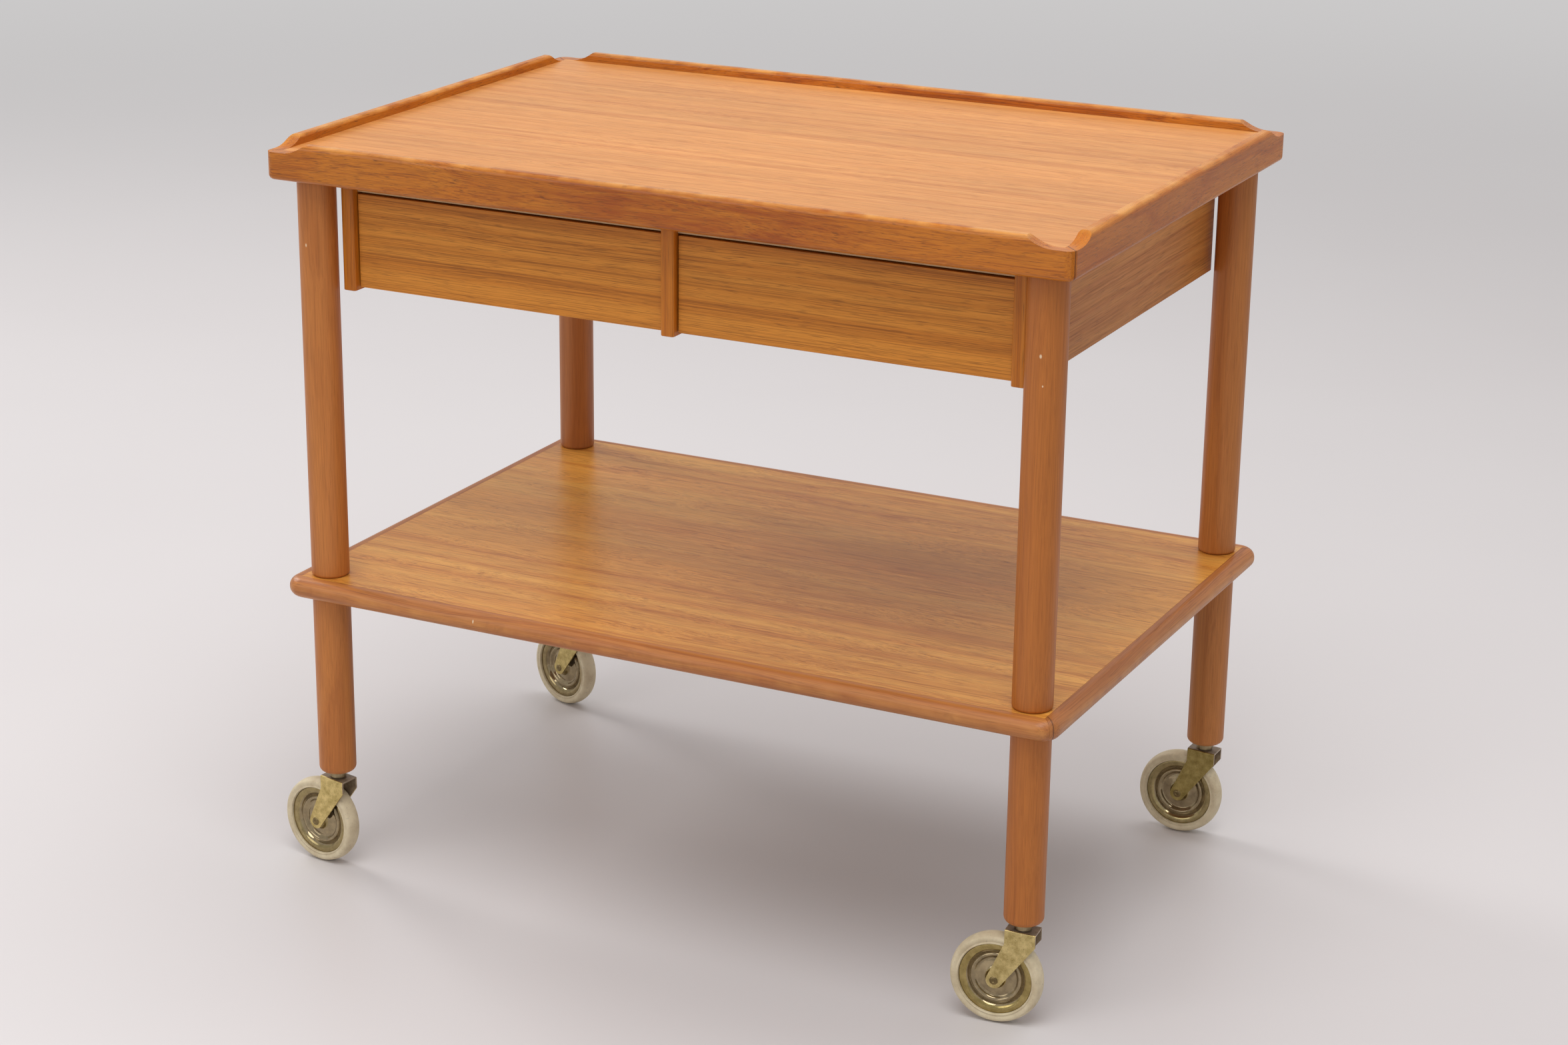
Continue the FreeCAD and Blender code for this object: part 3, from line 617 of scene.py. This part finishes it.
# Bright and dull plating by corner; the rear right is darker as painted shade, where the shelf shades it
fork_tones_with_painted_shade = {"front_left": ("dec889", "b39e61"), "front_right": ("d8c48a", "ae9a62"),
              "rear_right": ("b4a064", "8c7a46"), "rear_left": ("d2be80", "a8935a")}
brown_plating_and_painted_shade = metal("brass plate brown with age and painted shade", "ad9a81", "867562", "51463a", gloss=0.3, pitted=0.4,
                   bare=0.5)
for corner in corners:
    brass_fork = metal("brass plate on pressed steel, " + corner, *fork_tones_with_painted_shade[corner], "6f5c36", gloss=0.3,
                       pitted=0.6)
    fit(pressed_fork(corner), "bracket_" + corner, (brass_fork, brown_plating_and_painted_shade), "caster_" + corner,
        "caster_%s_fork" % corner)


# Floor: painted concrete, pale and even, with faint clouds some 0.7 m across in the paint.
# It runs on into the pale room without an edge, as a studio sweep does.

room_colour, room_glow = linear("e8e6e6"), 0.74


def looked_at(tree):
    """1 on rays from the camera, and on those by which metal and glass show the room; 0 on all others."""
    ray = add(tree, "LightPath").outputs
    seen = ray["Is Camera Ray"]
    for kind in ("Is Glossy Ray", "Is Transmission Ray"):
        seen = add(tree, "Math", {0: seen, 1: ray[kind]}, operation="MAXIMUM").outputs[0]
    return seen


def floor_paint():
    """Matt paint with a little sheen. Two paces off, what is seen of it turns into the colour of the room."""
    made = bpy.data.materials.new("pale floor paint")
    tree = emptied(made)
    place = add(tree, "TexCoord").outputs["Object"]
    cloud = add(tree, "TexNoise", {"Vector": place, "Scale": 1 / 0.714, "Detail": 3}).outputs[0]
    tone = add(tree, "Mix", {0: cloud, 6: linear("d9d5d5"), 7: linear("d3cece")}, data_type="RGBA").outputs[2]
    paint = add(tree, "BsdfPrincipled", {"Base Color": tone, "Roughness": 0.42}).outputs[0]
    span = add(tree, "VectorMath", {0: place}, operation="LENGTH").outputs["Value"]
    far = add(tree, "MapRange", {"Value": span, "From Min": 1.6, "From Max": 5},
              interpolation_type="SMOOTHSTEP").outputs[0]
    far = add(tree, "Math", {0: far, 1: looked_at(tree)}, operation="MULTIPLY").outputs[0]
    haze = add(tree, "Emission", {"Color": room_colour, "Strength": room_glow}).outputs[0]
    sweep = add(tree, "MixShader", {0: far, 1: paint, 2: haze}).outputs[0]
    add(tree, "OutputMaterial", {"Surface": sweep})
    return made


floor_reach = 14
ground = bmesh.new()
bmesh.ops.create_grid(ground, x_segments=1, y_segments=1, size=floor_reach)
floor_mesh = bpy.data.meshes.new("floor")
ground.to_mesh(floor_mesh)
ground.free()
floor_mesh.materials.append(floor_paint())
floor = bpy.data.objects.new("floor", floor_mesh)
bpy.context.scene.collection.objects.link(floor)


# Light: two wide soft sources overhead, a smaller one at the left and a weak fill from the front,
# in an even, pale room.

def softbox(name, place, size, power):
    """A round, soft lamp, turned to the middle of the trolley."""
    target = Vector((0, 0, 0.3))
    lamp = bpy.data.lights.new(name, "AREA")
    lamp.shape = "DISK"
    lamp.size = size
    lamp.energy = power
    stand = bpy.data.objects.new(name, lamp)
    stand.location = place
    stand.rotation_euler = (target - Vector(place)).to_track_quat("-Z", "Y").to_euler()
    bpy.context.scene.collection.objects.link(stand)


softbox("ceiling, front", (0.5, -1.3, 3.1), size=2.2, power=47)
softbox("ceiling, rear", (0.4, 0.8, 3.3), size=2.2, power=26)
softbox("window, left", (-3.0, 0.8, 2.4), size=1.4, power=39)
softbox("front fill", (-1.6, -3.0, 1.7), size=2.0, power=14)
# The camera and the metal see the room a little paler than it lights the trolley
room_light = 0.62
room = bpy.data.worlds.new("pale room")
room_tree = emptied(room)
strength = add(room_tree, "MapRange", {"Value": looked_at(room_tree), "To Min": room_light,
                                       "To Max": room_glow}).outputs[0]
air = add(room_tree, "Background", {"Color": room_colour, "Strength": strength}).outputs[0]
add(room_tree, "OutputWorld", {"Surface": air})
bpy.context.scene.world = room


# Camera: standing height, off the front right corner of the trolley, looking down on the tray.
# Its place, its turn and the shift of its lens were fitted to the edges of the photograph.

lens = bpy.data.cameras.new("camera")
lens.sensor_width = 36
lens.lens = 74.78
lens.shift_x, lens.shift_y = 0.0302, 0.0366
standpoint = (1.1897, -2.3632, 1.193)
yaw, pitch, tilt = 0.47546, -0.34251, 0.00729
ahead = Vector((-math.sin(yaw) * math.cos(pitch), math.cos(yaw) * math.cos(pitch), math.sin(pitch)))
aside = Vector((math.cos(yaw), math.sin(yaw), 0))
above = aside.cross(ahead)
rightward = aside * math.cos(tilt) + above * math.sin(tilt)
upward = above * math.cos(tilt) - aside * math.sin(tilt)
stance = Matrix((rightward, upward, -ahead)).transposed().to_4x4()
stance.translation = standpoint
camera = bpy.data.objects.new("camera", lens)
camera.matrix_world = stance
bpy.context.scene.collection.objects.link(camera)
bpy.context.scene.camera = camera
bpy.context.scene.view_settings.view_transform = "Standard"
